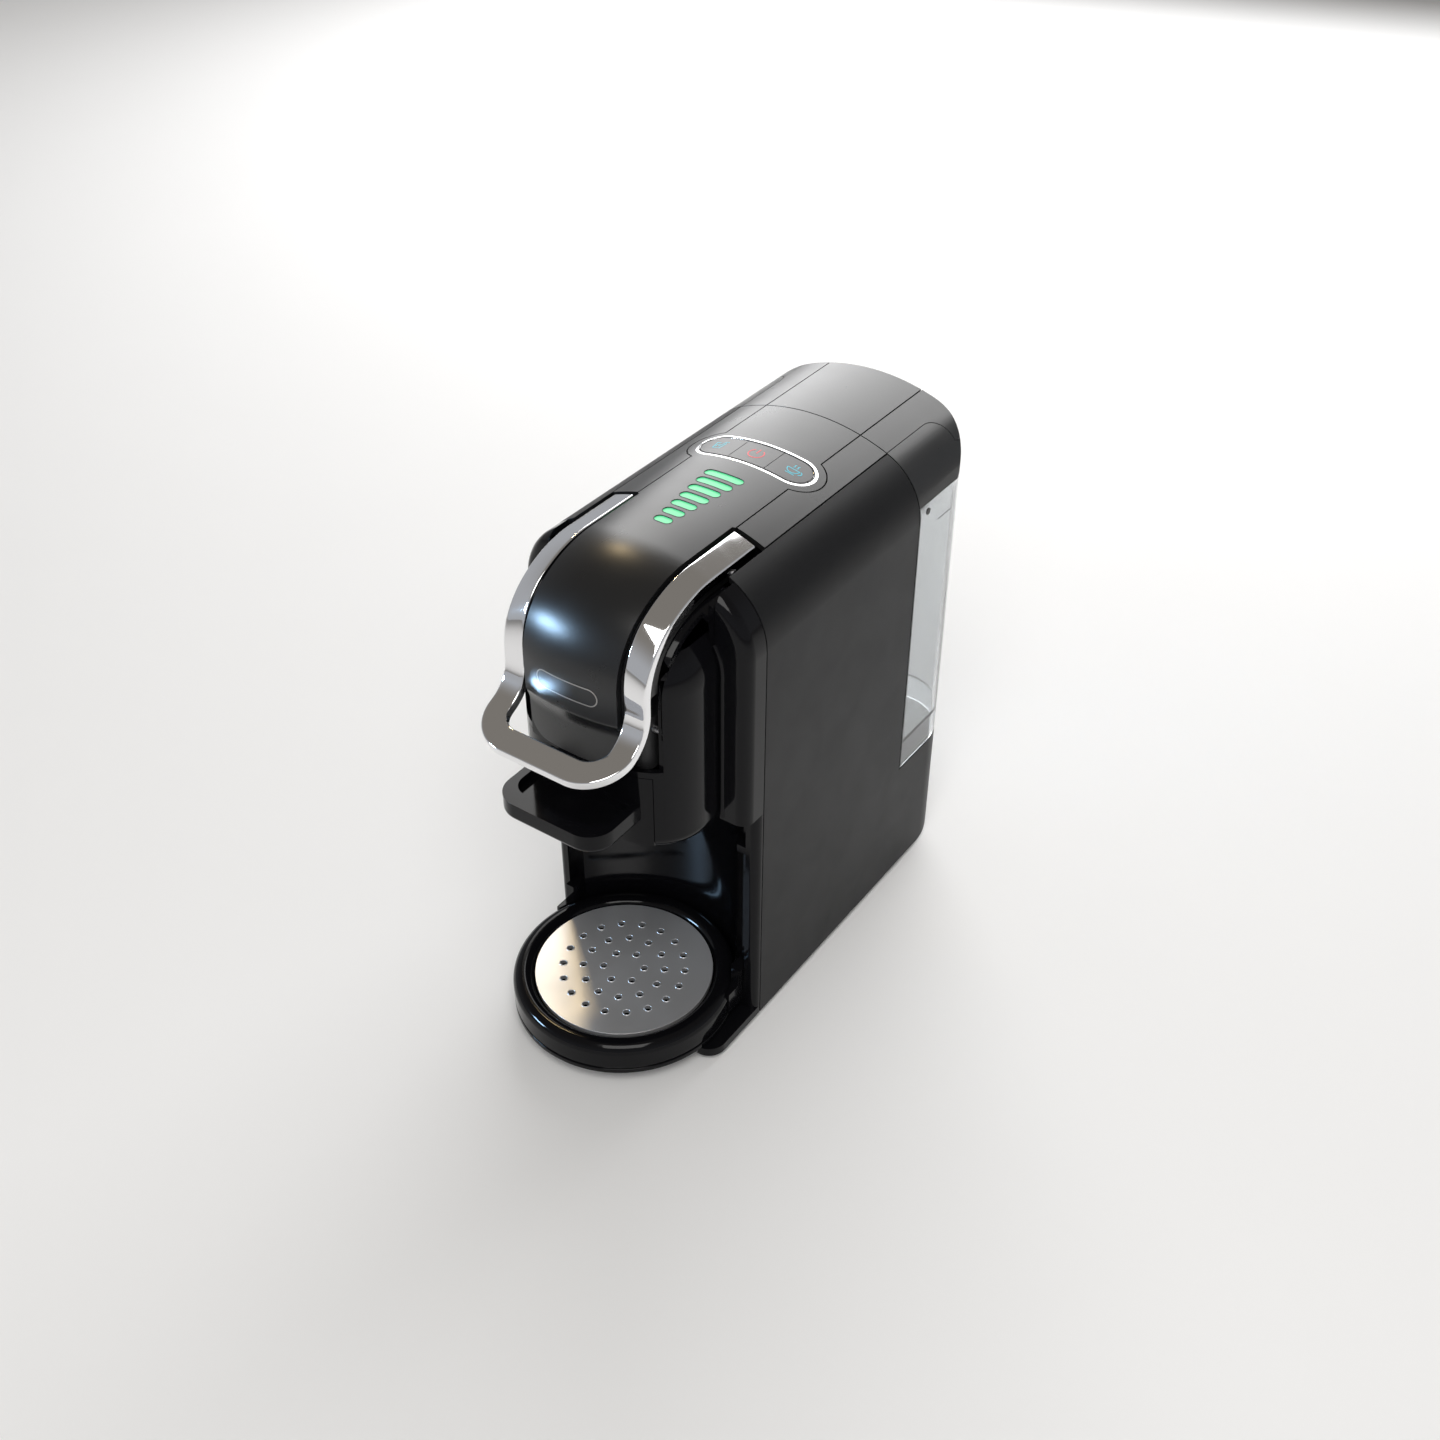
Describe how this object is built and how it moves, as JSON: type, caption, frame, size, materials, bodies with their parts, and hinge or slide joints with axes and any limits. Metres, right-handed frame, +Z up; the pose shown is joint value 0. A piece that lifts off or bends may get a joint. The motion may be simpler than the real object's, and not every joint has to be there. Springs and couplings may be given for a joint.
{
  "type": "pod coffee machine",
  "caption": "Slim counter-top pod coffee machine with a lifting chrome handle, capsule drawer, round drip tray, lit strength bars, pill-shaped key panel and a clear rear water tank.",
  "frame": {"origin": "bottom centre of the bounding box, on the counter under the feet", "axes": "+Z up, front along -Y, +X to the right of the picture"},
  "size_m": [0.117, 0.26, 0.25],
  "materials": {
    "gloss_black": "polished black",
    "satin_black": "satin black",
    "panel_grey": "fine grained dark grey",
    "inner_plastic": "plain moulded",
    "chrome": "bright plated",
    "steel": "turned",
    "rubber": "matte",
    "clear_plastic": "clear moulded",
    "light_guide": "lit mint diffuser",
    "key_grey": "satin grey",
    "circuit_board": "solder mask",
    "pump_body": "plain",
    "heater_metal": "cast",
    "tube_white": "plain tube"
  },
  "bodies": {
    "housing": {"base_plate": "inner_plastic", "rubber_feet": "rubber", "base_screws": "steel", "right_side_panel": "panel_grey", "left_side_panel": "panel_grey", "rear_cover": "panel_grey", "cord_gland": "rubber", "right_top_strip": "satin_black", "left_top_strip": "satin_black", "front_frame": "gloss_black", "brew_head_shell": "gloss_black", "spout": "gloss_black", "front_cover": "satin_black", "hinge_pins": "steel", "tank_dock": "inner_plastic", "dock_seal": "rubber", "level_lights": "light_guide", "control_ring": "chrome", "panel_board": "circuit_board", "chassis": "inner_plastic", "pump": "pump_body", "pump_mounts": "rubber", "thermoblock": "heater_metal", "thermal_fuse": "pump_body", "flow_meter": "inner_plastic", "main_board": "circuit_board", "suction_hoses": "rubber", "pressure_tube": "tube_white", "brew_tube": "tube_white"},
    "handle": {"handle_loop": "chrome", "right_lever_arm": "satin_black", "left_lever_arm": "satin_black"},
    "injector": {"injector_carriage": "inner_plastic", "guide_pin": "steel", "injector_plate": "steel", "injector_seal": "rubber"},
    "drawer": {"capsule_drawer": "gloss_black", "capsule_cup": "inner_plastic"},
    "tray": {"tray_bowl": "gloss_black", "tray_ring": "gloss_black", "tray_hooks": "gloss_black"},
    "grate": {"drip_grate": "chrome"},
    "tank": {"water_tank": "clear_plastic", "tank_collar": "gloss_black", "tank_valve": "inner_plastic"},
    "lid": {"tank_lid": "satin_black"},
    "cold_key": {"key_cold": "key_grey"},
    "power_key": {"key_power": "key_grey"},
    "hot_key": {"key_hot": "key_grey"}
  },
  "joints": [
    {"name": "handle_hinge", "type": "hinge", "parent": "housing", "child": "handle", "pos_m": [0, -0.037, 0.235], "axis": [-1, 0, 0], "range_deg": [0, 75]},
    {"name": "injector_slide", "type": "slide", "parent": "housing", "child": "injector", "axis": [0, 0, 1], "range_m": [0, 0.018]},
    {"name": "drawer_slide", "type": "slide", "parent": "housing", "child": "drawer", "axis": [0, -1, 0], "range_m": [0, 0.058]},
    {"name": "tray_lift", "type": "slide", "parent": "housing", "child": "tray", "axis": [0, 0, 1], "range_m": [0, 0.06]},
    {"name": "grate_lift", "type": "slide", "parent": "tray", "child": "grate", "axis": [0, 0, 1], "range_m": [0, 0.03]},
    {"name": "tank_lift", "type": "slide", "parent": "housing", "child": "tank", "axis": [0, 0, 1], "range_m": [0, 0.19]},
    {"name": "lid_lift", "type": "slide", "parent": "tank", "child": "lid", "axis": [0, 0, 1], "range_m": [0, 0.03]},
    {"name": "cold_key_press", "type": "slide", "parent": "housing", "child": "cold_key", "axis": [0, 0, -1], "range_m": [0, 0.0008], "stiffness_N_per_m": 1500},
    {"name": "power_key_press", "type": "slide", "parent": "housing", "child": "power_key", "axis": [0, 0, -1], "range_m": [0, 0.0008], "stiffness_N_per_m": 1500},
    {"name": "hot_key_press", "type": "slide", "parent": "housing", "child": "hot_key", "axis": [0, 0, -1], "range_m": [0, 0.0008], "stiffness_N_per_m": 1500}
  ],
  "couplings": [
    {"joint": "injector_slide", "follows": "handle_hinge", "m_per_rad": 0.01375}
  ]
}
